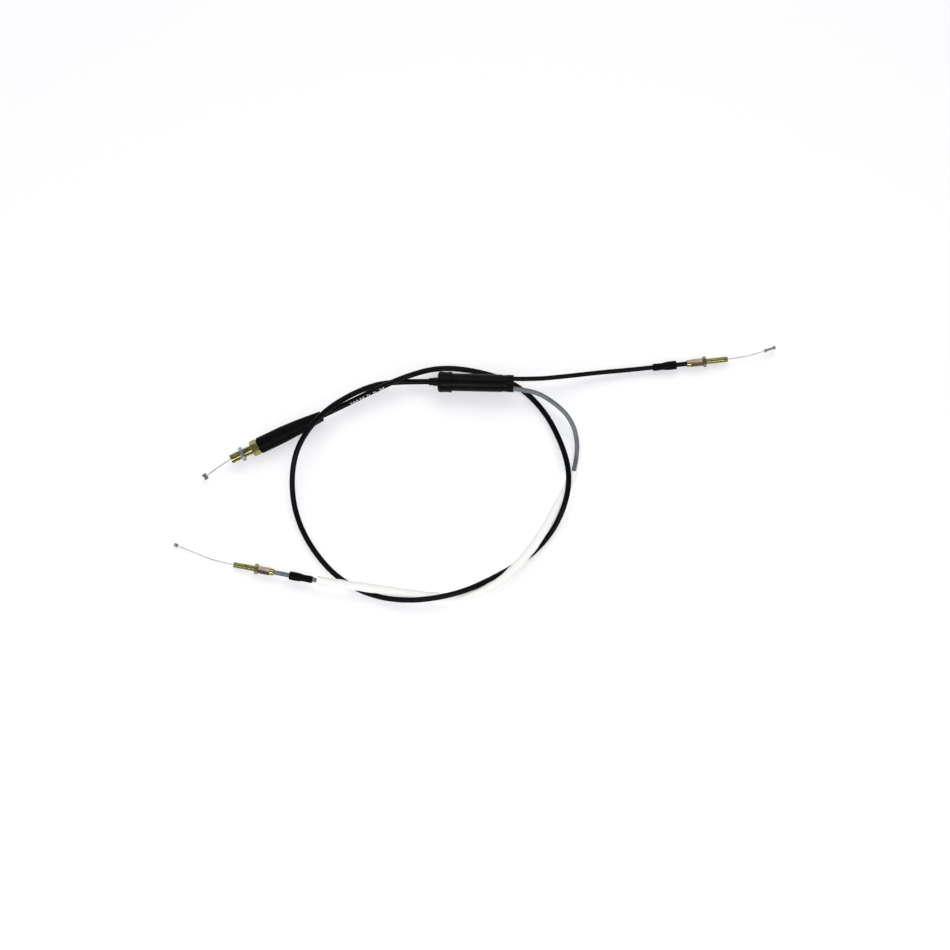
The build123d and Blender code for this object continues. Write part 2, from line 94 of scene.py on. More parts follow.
lever_line = joint_line("lever_fitting_spin")
a_line = joint_line("a_adjuster_spin")
b_line = joint_line("b_adjuster_spin")
splitter_line = Line(mounts["splitter_body"]["pos_m"], mounts["splitter_body"]["axis"])
end_lines = {"a": a_line, "b": b_line}
OUTLET_LEFT_MM = {"a": 5.0, "b": -5.0}

# ---------------------------------------------------------------- camera

VIEW_WIDTH = 1.026
VIEW_CENTRE = (0.0003, -0.0113)
LENS = 85.0
SENSOR = 36.0
MEAN_HEIGHT = 0.008

camera_data = bpy.data.cameras.new("camera")
camera_data.lens = LENS
camera_data.sensor_width = SENSOR
camera = bpy.data.objects.new("camera", camera_data)
camera.location = (*VIEW_CENTRE, MEAN_HEIGHT + VIEW_WIDTH / 2 / (SENSOR / 2 / LENS))
bpy.context.scene.collection.objects.link(camera)
bpy.context.scene.camera = camera

# ---------------------------------------------------------------- materials


def blank_material(name, shader_values):
    """New node material with constants set on its own shader."""
    made = bpy.data.materials.new(name)
    made.use_nodes = True
    shader = made.node_tree.nodes["Principled BSDF"]
    for socket, value in shader_values.items():
        shader.inputs[socket].default_value = value
    return made, shader


def noise_node(tree, vector, scale, detail=3.0, rough=0.55):
    """Noise between 0 and 1."""
    node = tree.nodes.new("ShaderNodeTexNoise")
    node.inputs["Scale"].default_value = scale
    node.inputs["Detail"].default_value = detail
    node.inputs["Roughness"].default_value = rough
    tree.links.new(vector, node.inputs["Vector"])
    return node.outputs["Fac"]


def ranged(tree, value, low, high, start=0.3, end=0.7):
    """Value from start to end, spread from low to high."""
    node = tree.nodes.new("ShaderNodeMapRange")
    node.inputs["From Min"].default_value = start
    node.inputs["From Max"].default_value = end
    node.inputs["To Min"].default_value = low
    node.inputs["To Max"].default_value = high
    tree.links.new(value, node.inputs["Value"])
    return node.outputs["Result"]


def ramp(tree, value, tones, start=0.36, end=0.64):
    """Colour that runs through the tones as the value runs from start to end."""
    node = tree.nodes.new("ShaderNodeValToRGB")
    elements = node.color_ramp.elements
    while len(elements) < len(tones):
        elements.new(0.5)
    for i, (element, tone) in enumerate(zip(elements, tones)):
        element.position = start + (end - start) * i / max(1, len(tones) - 1)
        element.color = (*tone, 1.0)
    tree.links.new(value, node.inputs["Fac"])
    return node.outputs["Color"]


def bumped(tree, height, distance):
    """Normal of a fine relief."""
    node = tree.nodes.new("ShaderNodeBump")
    node.inputs["Distance"].default_value = distance
    tree.links.new(height, node.inputs["Height"])
    return node.outputs["Normal"]


def surface(name, tones, patch, rough, grain, grain_depth, dust=None, **values):
    """Material whose tone, roughness and fine relief all vary over it.

    patch and grain are noise scales per metre; dust is (tone, scale, amount) for pale specks.
    """
    made, shader = blank_material(name, values)
    tree = made.node_tree
    where = tree.nodes.new("ShaderNodeTexCoord").outputs["Object"]
    colour = ramp(tree, noise_node(tree, where, patch), tones)
    if dust:
        tone, scale, amount = dust
        mix = tree.nodes.new("ShaderNodeMix")
        mix.data_type = "RGBA"
        mix.inputs["B"].default_value = (*tone, 1.0)
        specks = noise_node(tree, where, scale, 6.0, 0.7)
        tree.links.new(ranged(tree, specks, 0.0, amount, 0.56, 0.75), mix.inputs["Factor"])
        tree.links.new(colour, mix.inputs["A"])
        colour = mix.outputs["Result"]
    tree.links.new(colour, shader.inputs["Base Color"])
    wear = noise_node(tree, where, patch * 3.1, 5.0, 0.65)
    tree.links.new(ranged(tree, wear, *rough), shader.inputs["Roughness"])
    fine = noise_node(tree, where, grain, 4.0, 0.6)
    tree.links.new(bumped(tree, fine, grain_depth), shader.inputs["Normal"])
    return made


def zinc(name, tones, rough):
    """Passivated zinc plating: drifting colours, fine crystalline mottle, slightly uneven gloss."""
    return surface(
        name,
        tones,
        patch=170.0,
        rough=rough,
        grain=5200.0,
        grain_depth=0.00002,
        dust=((0.20, 0.18, 0.12), 2600.0, 0.30),
        Metallic=1.0,
    )


GOLD = (0.27, 0.235, 0.085)
LEMON = (0.37, 0.37, 0.15)
OLIVE = (0.21, 0.21, 0.085)
ROSE = (0.20, 0.15, 0.115)
VIOLET = (0.16, 0.125, 0.115)

materials = {
    "black_jacket": surface(
        "extruded_black_jacket",
        [(0.0014, 0.0014, 0.0019), (0.0022, 0.0022, 0.0029), (0.0034, 0.0032, 0.0045)],
        patch=60.0,
        rough=(0.24, 0.38),
        grain=2400.0,
        grain_depth=0.00002,
        dust=((0.018, 0.018, 0.021), 1800.0, 0.30),
        **{"Specular IOR Level": 0.06},
    ),
    "grey_jacket": surface(
        "extruded_grey_jacket",
        [(0.085, 0.100, 0.110), (0.115, 0.132, 0.142), (0.145, 0.162, 0.172)],
        patch=60.0,
        rough=(0.26, 0.42),
        grain=2400.0,
        grain_depth=0.00002,
        dust=((0.32, 0.33, 0.35), 1800.0, 0.30),
        **{"Specular IOR Level": 0.35},
    ),
    "black_rubber": surface(
        "moulded_black_rubber",
        [(0.0012, 0.0012, 0.0014), (0.0019, 0.0019, 0.0022), (0.0030, 0.0030, 0.0034)],
        patch=110.0,
        rough=(0.42, 0.60),
        grain=3800.0,
        grain_depth=0.00005,
        dust=((0.015, 0.015, 0.017), 1500.0, 0.35),
        **{"Specular IOR Level": 0.045},
    ),
    "black_plastic": surface(
        "moulded_black_nylon",
        [(0.0013, 0.0013, 0.0016), (0.0021, 0.0021, 0.0025), (0.0032, 0.0031, 0.0038)],
        patch=90.0,
        rough=(0.30, 0.44),
        grain=3000.0,
        grain_depth=0.00004,
        dust=((0.017, 0.017, 0.019), 1700.0, 0.30),
        **{"Specular IOR Level": 0.06},
    ),
    "white_acetal": surface(
        "turned_white_acetal",
        [(0.74, 0.74, 0.71), (0.82, 0.82, 0.79), (0.86, 0.86, 0.84)],
        patch=120.0,
        rough=(0.25, 0.40),
        grain=2600.0,
        grain_depth=0.00002,
    ),
    "liner": surface(
        "white_liner",
        [(0.72, 0.72, 0.68), (0.80, 0.80, 0.77), (0.84, 0.84, 0.82)],
        patch=120.0,
        rough=(0.25, 0.40),
        grain=2600.0,
        grain_depth=0.00002,
    ),
    "steel_winding": surface(
        "flat_steel_winding",
        [(0.33, 0.33, 0.34), (0.42, 0.42, 0.43), (0.50, 0.50, 0.51)],
        patch=150.0,
        rough=(0.28, 0.45),
        grain=4200.0,
        grain_depth=0.00002,
        Metallic=1.0,
    ),
    "steel_wire": surface(
        "galvanised_strand",
        [(0.34, 0.35, 0.37), (0.44, 0.45, 0.47), (0.54, 0.55, 0.58)],
        patch=220.0,
        rough=(0.24, 0.44),
        grain=6000.0,
        grain_depth=0.00001,
        Metallic=1.0,
    ),
    "nipple_metal": surface(
        "cast_nipple_alloy",
        [(0.14, 0.15, 0.16), (0.22, 0.23, 0.24), (0.32, 0.33, 0.34)],
        patch=420.0,
        rough=(0.30, 0.55),
        grain=4200.0,
        grain_depth=0.00004,
        Metallic=1.0,
    ),
    "silver_zinc": zinc(
        "clear_passivated_zinc",
        [(0.20, 0.23, 0.27), (0.29, 0.32, 0.37), (0.38, 0.41, 0.45)],
        rough=(0.22, 0.42),
    ),
    "yellow_zinc": zinc("yellow_passivated_zinc", [OLIVE, GOLD, LEMON, GOLD], rough=(0.15, 0.26)),
    "rose_zinc": zinc("iridescent_passivated_zinc", [VIOLET, ROSE, ROSE, OLIVE], rough=(0.17, 0.30)),
    "ferrule_brass": surface(
        "drawn_brass",
        [(0.55, 0.41, 0.16), (0.66, 0.51, 0.22), (0.74, 0.60, 0.30)],
        patch=160.0,
        rough=(0.24, 0.42),
        grain=3600.0,
        grain_depth=0.00002,
        Metallic=1.0,
    ),
    "white_ink": surface(
        "white_marking_ink",
        [(0.42, 0.43, 0.42), (0.58, 0.59, 0.58), (0.74, 0.75, 0.73)],
        patch=900.0,
        rough=(0.45, 0.65),
        grain=4800.0,
        grain_depth=0.00001,
    ),
}


def fabric(name):
    """Braided glass sleeve: bright yarns with painted shade in the hollows between them, soft sheen, fine fibres.
    """
    made, shader = blank_material(name, {"Sheen Weight": 0.25, "Sheen Roughness": 0.5})
    tree = made.node_tree
    where = tree.nodes.new("ShaderNodeTexCoord").outputs["Object"]
    # painted shade: the weave height darkens the tone in the hollows between yarns and on the inner wall
    depth = tree.nodes.new("ShaderNodeAttribute")
    depth.attribute_name = "weave_shade"
    tones = [(0.66, 0.67, 0.66), (0.84, 0.85, 0.83), (0.92, 0.93, 0.91)]
    weave_shade = ramp(tree, depth.outputs["Fac"], tones, 0.0, 0.8)
    mix = tree.nodes.new("ShaderNodeMix")
    mix.data_type = "RGBA"
    mix.inputs["B"].default_value = (0.80, 0.78, 0.70, 1.0)
    tree.links.new(ranged(tree, noise_node(tree, where, 45.0), 0.0, 0.45), mix.inputs["Factor"])
    tree.links.new(weave_shade, mix.inputs["A"])
    tree.links.new(mix.outputs["Result"], shader.inputs["Base Color"])
    tree.links.new(ranged(tree, noise_node(tree, where, 700.0), 0.62, 0.85), shader.inputs["Roughness"])
    fibres = noise_node(tree, where, 5200.0, 5.0, 0.7)
    tree.links.new(bumped(tree, fibres, 0.00012), shader.inputs["Normal"])
    return made


materials["white_sleeve"] = fabric("braided_glass_sleeve")

# ---------------------------------------------------------------- mesh tools


def finished(name, vertices, faces, body, finish, slot, sharp=35.0, face_finishes=None):
    """Object from vertices and faces, smooth except at sharp edges, riding on a body.

    finish is one material key, or several with face_finishes giving the index for each face.
    """
    mesh = bpy.data.meshes.new(name)
    mesh.from_pydata([tuple(v) for v in vertices], [], faces)
    finishes = [finish] if isinstance(finish, str) else finish
    for key in finishes:
        mesh.materials.append(materials[key])
    if face_finishes:
        mesh.polygons.foreach_set("material_index", face_finishes)
    shaped = bmesh.new()
    shaped.from_mesh(mesh)
    bmesh.ops.remove_doubles(shaped, verts=shaped.verts, dist=1e-7)
    bmesh.ops.recalc_face_normals(shaped, faces=shaped.faces)
    for face in shaped.faces:
        face.smooth = True
    for edge in shaped.edges:
        edge.smooth = len(edge.link_faces) == 2 and edge.calc_face_angle(0.0) < math.radians(sharp)
    shaped.to_mesh(mesh)
    shaped.free()
    made = bpy.data.objects.new(name, mesh)
    bpy.context.scene.collection.objects.link(made)
    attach(made, body)
    return made


def softened(outline, radius, steps=4):
    """Outline of (distance, radius) points with its corners rounded off."""
    points = [Vector(point) for point in outline]
    made = []
    for i, corner in enumerate(points):
        before = points[i - 1]
        after = points[(i + 1) % len(points)]
        cut = min(radius, 0.45 * (before - corner).length, 0.45 * (after - corner).length)
        start = corner + (before - corner).normalized() * cut
        end = corner + (after - corner).normalized() * cut
        for step in range(steps + 1):
            t = step / steps
            bend = start * (1 - t) ** 2 + corner * 2 * t * (1 - t) + end * t**2
            made.append((bend.x, bend.y))
    return made


def turned(line, stations, segments):
    """Closed surface about a line: one ring for each (distance, radius), the last joined to the first.

    A radius may be a function of the angle, from the line's left towards up.
    """
    angles = [TURN * k / segments for k in range(segments)]
    vertices = []
    for distance, radius in stations:
        for angle in angles:
            r = radius(angle) if callable(radius) else radius
            vertices.append(line.at(distance, r * math.cos(angle), r * math.sin(angle)))
    faces = []
    rings = len(stations)
    for i in range(rings):
        j = (i + 1) % rings
        for k in range(segments):
            n = (k + 1) % segments
            faces.append((i * segments + k, j * segments + k, j * segments + n, i * segments + n))
    return vertices, faces


def hexagon_stations(start, end, flats, bevel, roll=0.0, steps=5):
    """Stations of a hexagon whose corners are turned down at both ends."""
    face = flats / 2
    corner = face / math.cos(math.pi / 6)
    foot = face - 0.12
    levels = []
    for step in range(steps + 1):
        t = step / steps
        levels.append((start + bevel * t, foot + (corner - foot) * math.sin(t * math.pi / 2)))
    mirrored = [(start + end - distance, crown) for distance, crown in reversed(levels)]
    stations = []
    for distance, crown in levels + mirrored:

        def radius(angle, crown=crown):
            off = (angle - roll) % (math.pi / 3) - math.pi / 6
            return min(crown, face / math.cos(off))

        stations.append((distance, radius))
    return stations


def thread_stations(start, end, major, pitch, per_turn=10):
    """Stations of a right-hand thread with flattened crests, fading out at both ends."""
    depth = 0.5 * pitch
    count = int((end - start) / pitch * per_turn)
    stations = []
    for i in range(count + 1):
        distance = start + (end - start) * i / count
        fade = min(1.0, (distance - start) / pitch, (end - distance) / (0.6 * pitch))

        def radius(angle, distance=distance, fade=max(0.0, fade)):
            phase = (distance / pitch - angle / TURN) % 1.0
            rise = min(1.0, max(0.0, (abs(2 * phase - 1) - 0.1) / 0.5))
            return major - depth * fade * (1 - rise * rise * (3 - 2 * rise))

        stations.append((distance, radius))
    return stations


# ---------------------------------------------------------------- cords

MAIN_ROUTE = [
    (-0.112, 0.078, 0.0152),
    (-0.076, 0.0945, 0.0158),
    (-0.038, 0.1055, 0.006),
    (0.005, 0.101, 0.003),
    (0.046, 0.087, 0.003),
    (0.076, 0.058, 0.003),
    (0.0944, 0.022, 0.0065),
    (0.1025, -0.009, 0.0124),
    (0.099, -0.040, 0.012),
    (0.084, -0.074, 0.0044),
    (0.057, -0.102, 0.003),
    (0.022, -0.122, 0.0046),
    (-0.015, -0.1385, 0.0122),
    (-0.062, -0.1474, 0.0122),
    (-0.107, -0.144, 0.004),
    (-0.147, -0.125, 0.003),
    (-0.177, -0.091, 0.0034),
    (-0.195, -0.052, 0.0054),
    (-0.198, -0.010, 0.0126),
    (-0.1888, 0.0248, 0.0205),
    (-0.163, 0.0574, 0.0205),
    (-0.124, 0.081, 0.0094),
]
A_ROUTE = [
    (0.0628, 0.0915, 0.017),
    (0.099, 0.0952, 0.012),
    (0.136, 0.0996, 0.0066),
]
B_ROUTE = [
    (0.0585, 0.0816, 0.0168),
    (0.0846, 0.068, 0.0142),
    (0.1038, 0.0496, 0.0098),
    (0.1112, 0.027, 0.006),
    (0.1098, 0.004, 0.0044),
    (0.104, -0.018, 0.0044),
    (0.090, -0.043, 0.0049),
    (0.074, -0.073, 0.0084),
    (0.053, -0.102, 0.0116),
    (0.025, -0.130, 0.0104),
    (-0.009, -0.143, 0.0044),
    (-0.043, -0.1435, 0.0044),
    (-0.081, -0.138, 0.005),
    (-0.124, -0.1315, 0.0124),
]
MAIN_R = 0.003
OUTLET_R = 0.0025
LEVER_SEAT_MM = 38.2
LEVER_CORNER_MM = 138.0
INLET_CORNER_MM = -92.0
INLET_SEAT_MM = -39.0
OUTLET_SEAT_MM = 18.0
END_CORNER_MM = {"a": 100.0, "b": 110.0}
END_SEAT_MM = 37.2


def nurbs(name, points):
    """Smooth open curve with a route's points as its control points."""
    data = bpy.data.curves.new(name, "CURVE")
    data.dimensions = "3D"
    spline = data.splines.new("NURBS")
    spline.points.add(len(points) - 1)
    for control, point in zip(spline.points, points):
        control.co = (*point, 1.0)
    spline.order_u = 3
    spline.use_endpoint_u = True
    spline.resolution_u = 24
    made = bpy.data.objects.new(name, data)
    bpy.context.scene.collection.objects.link(made)
    return made


def centreline(points):
    """Points along the smooth curve of a route."""
    guide = nurbs("guide", points)
    bpy.context.view_layer.update()
    mesh = bpy.data.meshes.new_from_object(guide)
    found = [vertex.co.copy() for vertex in mesh.vertices]
    bpy.data.meshes.remove(mesh)
    bpy.data.objects.remove(guide)
    return found


def conduit(name, points, radius, slot, stands_for):
    """Round cord along a route's smooth curve."""
    made = nurbs(name, points)
    made.data.bevel_depth = radius
    made.data.bevel_resolution = 10
    made.data.use_fill_caps = True
    made.data.materials.append(materials[slot])
    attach(made, "cable")
    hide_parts(*stands_for)
    return made


main_points = [
    lever_line.at(LEVER_SEAT_MM),
    lever_line.at(LEVER_CORNER_MM),
    *[Vector(point) for point in MAIN_ROUTE],
    splitter_line.at(INLET_CORNER_MM),
    splitter_line.at(INLET_SEAT_MM),
]
outlet_points = {
    "a": [
        splitter_line.at(OUTLET_SEAT_MM, OUTLET_LEFT_MM["a"]),
        *[Vector(point) for point in A_ROUTE],
        a_line.at(END_CORNER_MM["a"]),
        a_line.at(END_SEAT_MM),
    ],
    "b": [
        splitter_line.at(OUTLET_SEAT_MM, OUTLET_LEFT_MM["b"]),
        *[Vector(point) for point in B_ROUTE],
        b_line.at(END_CORNER_MM["b"]),
        b_line.at(END_SEAT_MM),
    ],
}
LAYERS = ("jacket", "winding", "liner", "wire")
main_conduit = conduit(
    "main_conduit", main_points, MAIN_R, "black_jacket", [f"main_{layer}" for layer in LAYERS]
)
outlet_conduits = {
    cable: conduit(
        f"{cable}_conduit",
        outlet_points[cable],
        OUTLET_R,
        "grey_jacket" if cable == "b" else "black_jacket",
        [f"{cable}_{layer}" for layer in LAYERS],
    )
    for cable in ("a", "b")
}


# ---------------------------------------------------------------- sweeps along a line of points


def stretch(points, step):
    """Points spaced evenly along a polyline."""
    lengths = [0.0]
    for before, after in zip(points, points[1:]):
        lengths.append(lengths[-1] + (after - before).length)
    count = max(2, round(lengths[-1] / step))
    made = []
    i = 0
    for k in range(count + 1):
        target = lengths[-1] * k / count
        while i < len(points) - 2 and lengths[i + 1] < target:
            i += 1
        share = (target - lengths[i]) / max(1e-12, lengths[i + 1] - lengths[i])
        made.append(points[i].lerp(points[i + 1], min(1.0, share)))
    return made


def side_frames(points):
    """(side, up) at each point, with up leaning as little as it can from +Z."""
    frames = []
    for i in range(len(points)):
        run = (points[min(i + 1, len(points) - 1)] - points[max(i - 1, 0)]).normalized()
        side = Vector((0, 0, 1)).cross(run).normalized()
        frames.append((side, run.cross(side)))
    return frames


def swept(points, frames, radius, segments, capped=True):
    """Tube of rings; radius(i, angle) gives (sideways, upwards) offsets in metres."""
    vertices = []
    for i, (point, (side, up)) in enumerate(zip(points, frames)):
        for k in range(segments):
            across, above = radius(i, TURN * k / segments)
            vertices.append(point + side * across + up * above)
    faces = []
    for i in range(len(points) - 1):
        for k in range(segments):
            n = (k + 1) % segments
            faces.append(
                (i * segments + k, i * segments + n, (i + 1) * segments + n, (i + 1) * segments + k)
            )
    if capped:
        last = (len(points) - 1) * segments
        faces.append(tuple(reversed(range(segments))))
        faces.append(tuple(range(last, last + segments)))
    return vertices, faces


def strand(name, points, radius, outer_wires, body, stands_for):
    """Stranded wire: its outer wires run as a helix round the route."""
    step = 0.0005
    line = stretch(centreline(points), step)
    wire_r = radius / (1 + 1 / math.sin(math.pi / outer_wires))
    ring_r = radius - wire_r
    lay = 16 * radius

    def offset(i, angle):
        twist = TURN * i * step / lay
        off = (angle - twist + math.pi / outer_wires) % (TURN / outer_wires) - math.pi / outer_wires
        reach = ring_r * math.cos(off) + math.sqrt(max(0.0, wire_r**2 - (ring_r * math.sin(off)) ** 2))
        return reach * math.cos(angle), reach * math.sin(angle)

    vertices, faces = swept(line, side_frames(line), offset, 8 * outer_wires)
    made = finished(name, vertices, faces, body, "steel_wire", "steel_wire", sharp=60.0)
    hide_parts(stands_for)
    return made


# ---------------------------------------------------------------- moving wires and nipples

MAIN_WIRE_R = 0.00075
OUTLET_WIRE_R = 0.0006
LEVER_TAIL_MM = 60.0
END_TAIL_MM = 41.0
LEVER_EXPOSED_MM = [(2.0, 0.0, 0.0), (15.0, -1.6, -0.3), (33.2, -4.9, -1.0)]
EXPOSED_MM = {
    "a": [(6.0, 0.0, 0.0), (25.0, -1.0, 0.3), (41.0, -4.4, 0.4)],
    "b": [
        (6.0, 0.0, 0.0),
        (18.0, 0.63, 0.25),
        (25.0, 1.0, 0.4),
        (34.0, 2.85, 1.25),
        (64.0, 9.0, 4.1),
    ],
}


def wire_route(line, tail, exposed):
    """Corners of a moving wire: its hidden tail, the tip of its fitting, its exposed stretch."""
    return [line.at(tail), line.at(0.0), *[line.at(-out, left, up) for out, left, up in exposed]]


def beyond(points):
    """Line that carries on from a route's last point."""
    return Line(points[-1], points[-1] - points[-2])


lever_route = wire_route(lever_line, LEVER_TAIL_MM, LEVER_EXPOSED_MM)
lever_wire = strand("lever_pull_wire", lever_route, MAIN_WIRE_R, 12, "lever_pull", "lever_wire")

lever_end = beyond(lever_route)
crosswise = Line(lever_end.origin, lever_end.left)
lever_nipple_outline = softened(
    [
        (-3.5, 0.0),
        (-3.5, 0.5),
        (-3.3, 2.1),
        (-3.1, 2.5),
        (-1.0, 2.5),
        (-0.75, 1.5),
        (0.75, 1.5),
        (1.0, 2.5),
        (3.1, 2.5),
        (3.3, 2.1),
        (3.5, 0.5),
        (3.5, 0.0),
    ],
    0.12,
)
vertices, faces = turned(crosswise, lever_nipple_outline, 48)
lever_nipple = finished(
    "lever_barrel_nipple", vertices, faces, "lever_pull", "nipple_metal", "nipple_metal"
)
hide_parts("lever_nipple")

NIPPLE_OUTLINES_MM = {
    "a": [
        (-1.0, 0.0),
        (-1.0, 1.3),
        (-0.6, 1.9),
        (1.4, 1.9),
        (1.9, 1.35),
        (9.2, 1.35),
        (9.7, 1.9),
        (11.5, 1.9),
        (12.0, 1.4),
        (12.0, 0.0),
    ],
    "b": [(-1.0, 0.0), (-1.0, 1.4), (-0.6, 1.9), (3.1, 1.9), (3.5, 1.5), (3.5, 0.0)],
}
for cable, line in end_lines.items():
    route = wire_route(line, END_TAIL_MM, EXPOSED_MM[cable])
    strand(
        f"{cable}_strand", route, OUTLET_WIRE_R, 6, f"{cable}_pull", f"{cable}_pull_wire"
    )
    vertices, faces = turned(beyond(route), softened(NIPPLE_OUTLINES_MM[cable], 0.15), 40)
    finished(
        f"{cable}_end_nipple", vertices, faces, f"{cable}_pull", "nipple_metal", "nipple_metal"
    )
    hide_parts(f"{cable}_nipple")

# ---------------------------------------------------------------- lever fitting, locknut and boot

LEVER_THREAD_R_MM = 5.0
LEVER_THREAD_PITCH_MM = 1.25
LEVER_HEX_START_MM = 25.0
LEVER_HEX_END_MM = 33.2
LEVER_TUBE_END_MM = 58.0
lever_stations = [
    (0.0, 2.3),
    (0.0, 4.3),
    *thread_stations(0.25, 24.6, LEVER_THREAD_R_MM, LEVER_THREAD_PITCH_MM),
    (24.7, 4.5),
    (LEVER_HEX_START_MM, 4.5),
    *hexagon_stations(LEVER_HEX_START_MM, LEVER_HEX_END_MM, 15.0, 0.9),
    (LEVER_HEX_END_MM, 4.5),
    (LEVER_TUBE_END_MM - 0.4, 4.5),
    (LEVER_TUBE_END_MM, 4.1),
    (LEVER_TUBE_END_MM, 3.6),
    (36.9, 3.6),
    (36.9, 2.0),
    (0.3, 2.0),
]
vertices, faces = turned(lever_line, lever_stations, 96)
lever_fitting = finished(
    "lever_threaded_fitting", vertices, faces, "lever_fitting", "yellow_zinc", "yellow_zinc"
)
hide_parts("lever_fitting")


THREAD_GAP_MM = 0.03


def nut(name, line, start, end, flats, bevel, bore, body, slot, stands_for):
    """Hexagon nut with a countersunk bore."""
    stations = hexagon_stations(start, end, flats, bevel) + [
        (end, bore + 0.45),
        (end - 0.4, bore),
        (start + 0.4, bore),
        (start, bore + 0.45),
    ]
    made = finished(name, *turned(line, stations, 96), body, slot, slot)
    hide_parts(stands_for)
    return made


lever_nut = nut(
    "lever_hex_locknut",
    lever_line,
    start=11.9,
    end=15.7,
    flats=14.0,
    bevel=1.2,
    bore=LEVER_THREAD_R_MM + THREAD_GAP_MM,
    body="lever_locknut",
    slot="silver_zinc",
    stands_for="lever_locknut",
)

LEVER_BOOT_OUTLINE_MM = [
    (33.7, 7.3),
    (33.5, 7.7),
    (33.6, 8.4),
    (34.6, 9.0),
    (38.0, 9.0),
    (61.5, 9.0),
    (82.5, 8.0),
    (101.5, 6.2),
    (105.0, 5.9),
    (105.6, 5.6),
    (106.3, 5.6),
    (106.9, 5.75),
    (108.4, 5.6),
    (109.0, 5.0),
    (109.0, 3.4),
    (108.5, 3.06),
    (95.0, 3.06),
    (91.0, 4.2),
    (71.5, 5.6),
    (38.5, 6.6),
]
vertices, faces = turned(lever_line, softened(LEVER_BOOT_OUTLINE_MM, 0.6), 72)
lever_boot = finished(
    "lever_rubber_boot", vertices, faces, "lever_boot", "black_rubber", "black_rubber", 50.0
)
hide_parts("lever_boot")

# ---------------------------------------------------------------- carburettor ends


def banded(line, bands, segments):
    """Closed surface from bands of stations, each band with its own finish index."""
    stations = []
    finishes = []
    for band, finish in bands:
        stations += band
        finishes += [finish] * len(band)
    vertices, faces = turned(line, stations, segments)
    return vertices, faces, [finish for finish in finishes for _ in range(segments)]


END_THREAD_R_MM = 3.0
END_THREAD_PITCH_MM = 0.75
END_HEX_START_MM = 27.3
END_HEX_END_MM = 40.4
END_COLLAR_END_MM = 44.6
BOOT_MOUTH_MM = {"a": 55.8, "b": 62.0}
NUT_LOOK = {"a": "rose_zinc", "b": "yellow_zinc"}
end_nuts = {}
for cable, line in end_lines.items():
    bands = [
        ([(0.0, 1.9), (0.0, 2.6)], 0),
        (thread_stations(0.2, 26.9, END_THREAD_R_MM, END_THREAD_PITCH_MM), 0),
        ([(27.0, 2.6), (END_HEX_START_MM, 2.6)], 0),
        (hexagon_stations(END_HEX_START_MM, END_HEX_END_MM, 8.0, 0.5, math.radians(30.0)), 1),
        (
            [
                (END_HEX_END_MM, 3.75),
                (END_COLLAR_END_MM - 0.4, 3.75),
                (END_COLLAR_END_MM, 3.4),
                (END_COLLAR_END_MM, 2.9),
                (36.0, 2.9),
                (36.0, 1.75),
                (0.2, 1.75),
            ],
            0,
        ),
    ]
    vertices, faces, kinds = banded(line, bands, 72)
    finished(
        f"{cable}_threaded_adjuster",
        vertices,
        faces,
        f"{cable}_adjuster",
        ["yellow_zinc", "rose_zinc"],
        "yellow_zinc",
        face_finishes=kinds,
    )
    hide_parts(f"{cable}_adjuster")
    end_nuts[cable] = nut(
        f"{cable}_hex_locknut",
        line,
        start=23.5,
        end=27.1,
        flats=10.0,
        bevel=0.8,
        bore=END_THREAD_R_MM + THREAD_GAP_MM,
        body=f"{cable}_locknut",
        slot="yellow_zinc",
        stands_for=f"{cable}_locknut",
    )
    end_nuts[cable].data.materials[0] = materials[NUT_LOOK[cable]]
    mouth = BOOT_MOUTH_MM[cable]
    outline = [
        (mouth + 0.2, 3.86),
        (mouth, 4.0),
        (mouth, 4.3),
        (mouth + 0.5, 4.65),
        (mouth + 5.0, 4.65),
        (mouth + 9.6, 4.6),
        (mouth + 12.4, 4.2),
        (mouth + 15.2, 3.72),
        (mouth + 18.4, 3.68),
        (mouth + 20.4, 3.86),
        (mouth + 23.2, 3.88),
        (mouth + 25.1, 3.75),
        (mouth + 25.6, 3.3),
        (mouth + 25.6, 2.8),
        (mouth + 25.3, 2.55),
        (mouth + 14.5, 2.55),
        (mouth + 11.0, 3.86),
    ]
    vertices, faces = turned(line, softened(outline, 0.9), 64)
    finished(
        f"{cable}_rubber_boot", vertices, faces, f"{cable}_boot", "black_rubber", "black_rubber", 50.0
    )
    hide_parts(f"{cable}_boot")

# ---------------------------------------------------------------- splitter

PLASTIC_EDGE = 0.00022


def eased_edges(node):
    """The CAD shape stays; its hard edges get a small moulded round."""
    weld = node.modifiers.new("weld", "WELD")
    weld.merge_threshold = 1e-6
    bevel = node.modifiers.new("edges", "BEVEL")
    bevel.width = PLASTIC_EDGE
    bevel.segments = 2
    bevel.limit_method = "ANGLE"
    bevel.angle_limit = math.radians(40)


for name in ("splitter_cap", "splitter_outlet_plug", "splitter_inlet_ferrule", "splitter_barrel"):
    eased_edges(frame["nodes"][name])

# ---------------------------------------------------------------- heat sleeve on cable B

SLEEVE_END_MM = 93.0
SLEEVE_HALF_WIDTH = 0.00495
SLEEVE_HALF_HEIGHT = 0.0036
SLEEVE_WALL = 0.00055
YARNS = 12
YARN_PITCH = 0.0034
RELIEF = 0.00016
SLEEVE_STEP = 0.00045
SLEEVE_SEGMENTS = 88

b_centre = centreline(outlet_points["b"])
sleeve_start = (Vector(B_ROUTE[4]) + Vector(B_ROUTE[5])) / 2
sleeve_end = b_line.at(SLEEVE_END_MM)


def nearest(points, place):
    """Index of the point that lies nearest to a place."""
    return min(range(len(points)), key=lambda i: (points[i] - place).length)


first, last = nearest(b_centre, sleeve_start), nearest(b_centre, sleeve_end)
sleeve_line = stretch(b_centre[first : last + 1], SLEEVE_STEP)
sleeve_frames = side_frames(sleeve_line)
wander = random.Random(7)
waves = [
    (wander.uniform(0.012, 0.05), wander.uniform(0, TURN), wander.uniform(0.4, 1.0))
    for _ in range(6)
]


